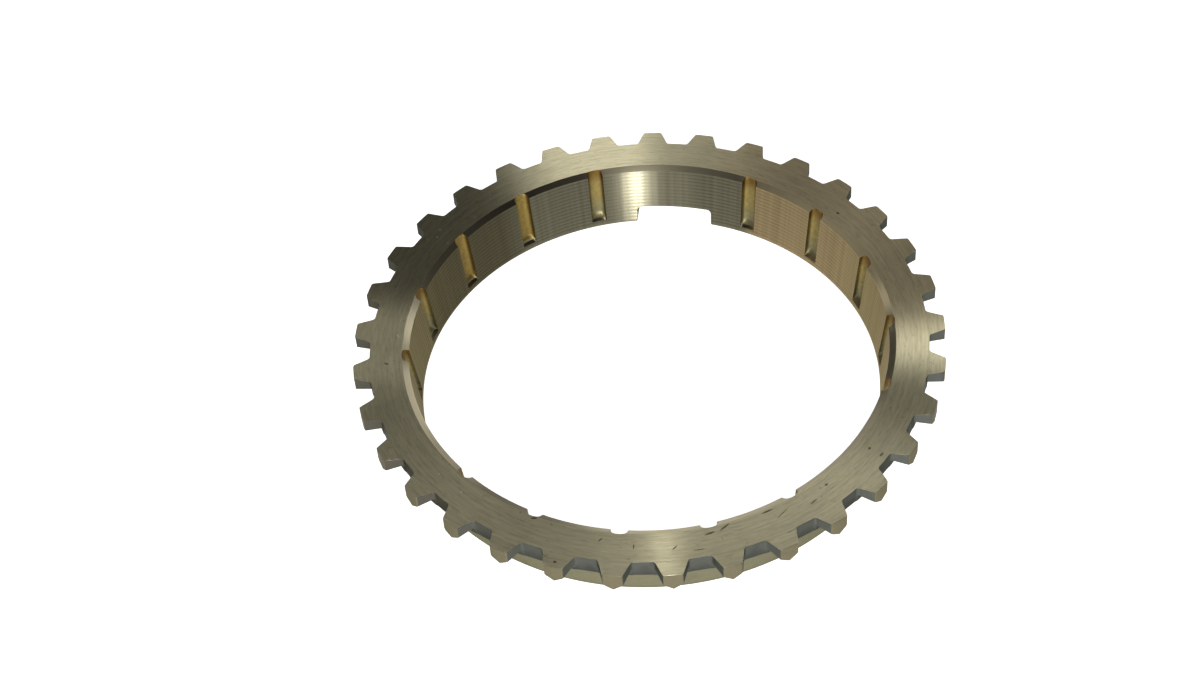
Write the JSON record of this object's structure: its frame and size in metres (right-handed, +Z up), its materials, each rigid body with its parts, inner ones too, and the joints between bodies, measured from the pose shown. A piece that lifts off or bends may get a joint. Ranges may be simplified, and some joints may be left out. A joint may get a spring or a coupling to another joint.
{
  "type": "synchronizer ring",
  "caption": "Brass gearbox synchronizer ring: a toothed flange with pointed tooth ends on a short skirt, with a threaded and grooved friction cone inside and key slots in the lower edge.",
  "frame": {"origin": "centre of the slotted face, on the ring's axis", "axes": "+Z up along the axis, from the slotted face to the flat turned face; +Y through the middle of one key slot"},
  "size_m": [0.092, 0.0919, 0.011],
  "materials": {
    "forged_brass": "fine turned, satin"
  },
  "bodies": {
    "root": {"synchro_ring": "forged_brass"}
  },
  "joints": []
}
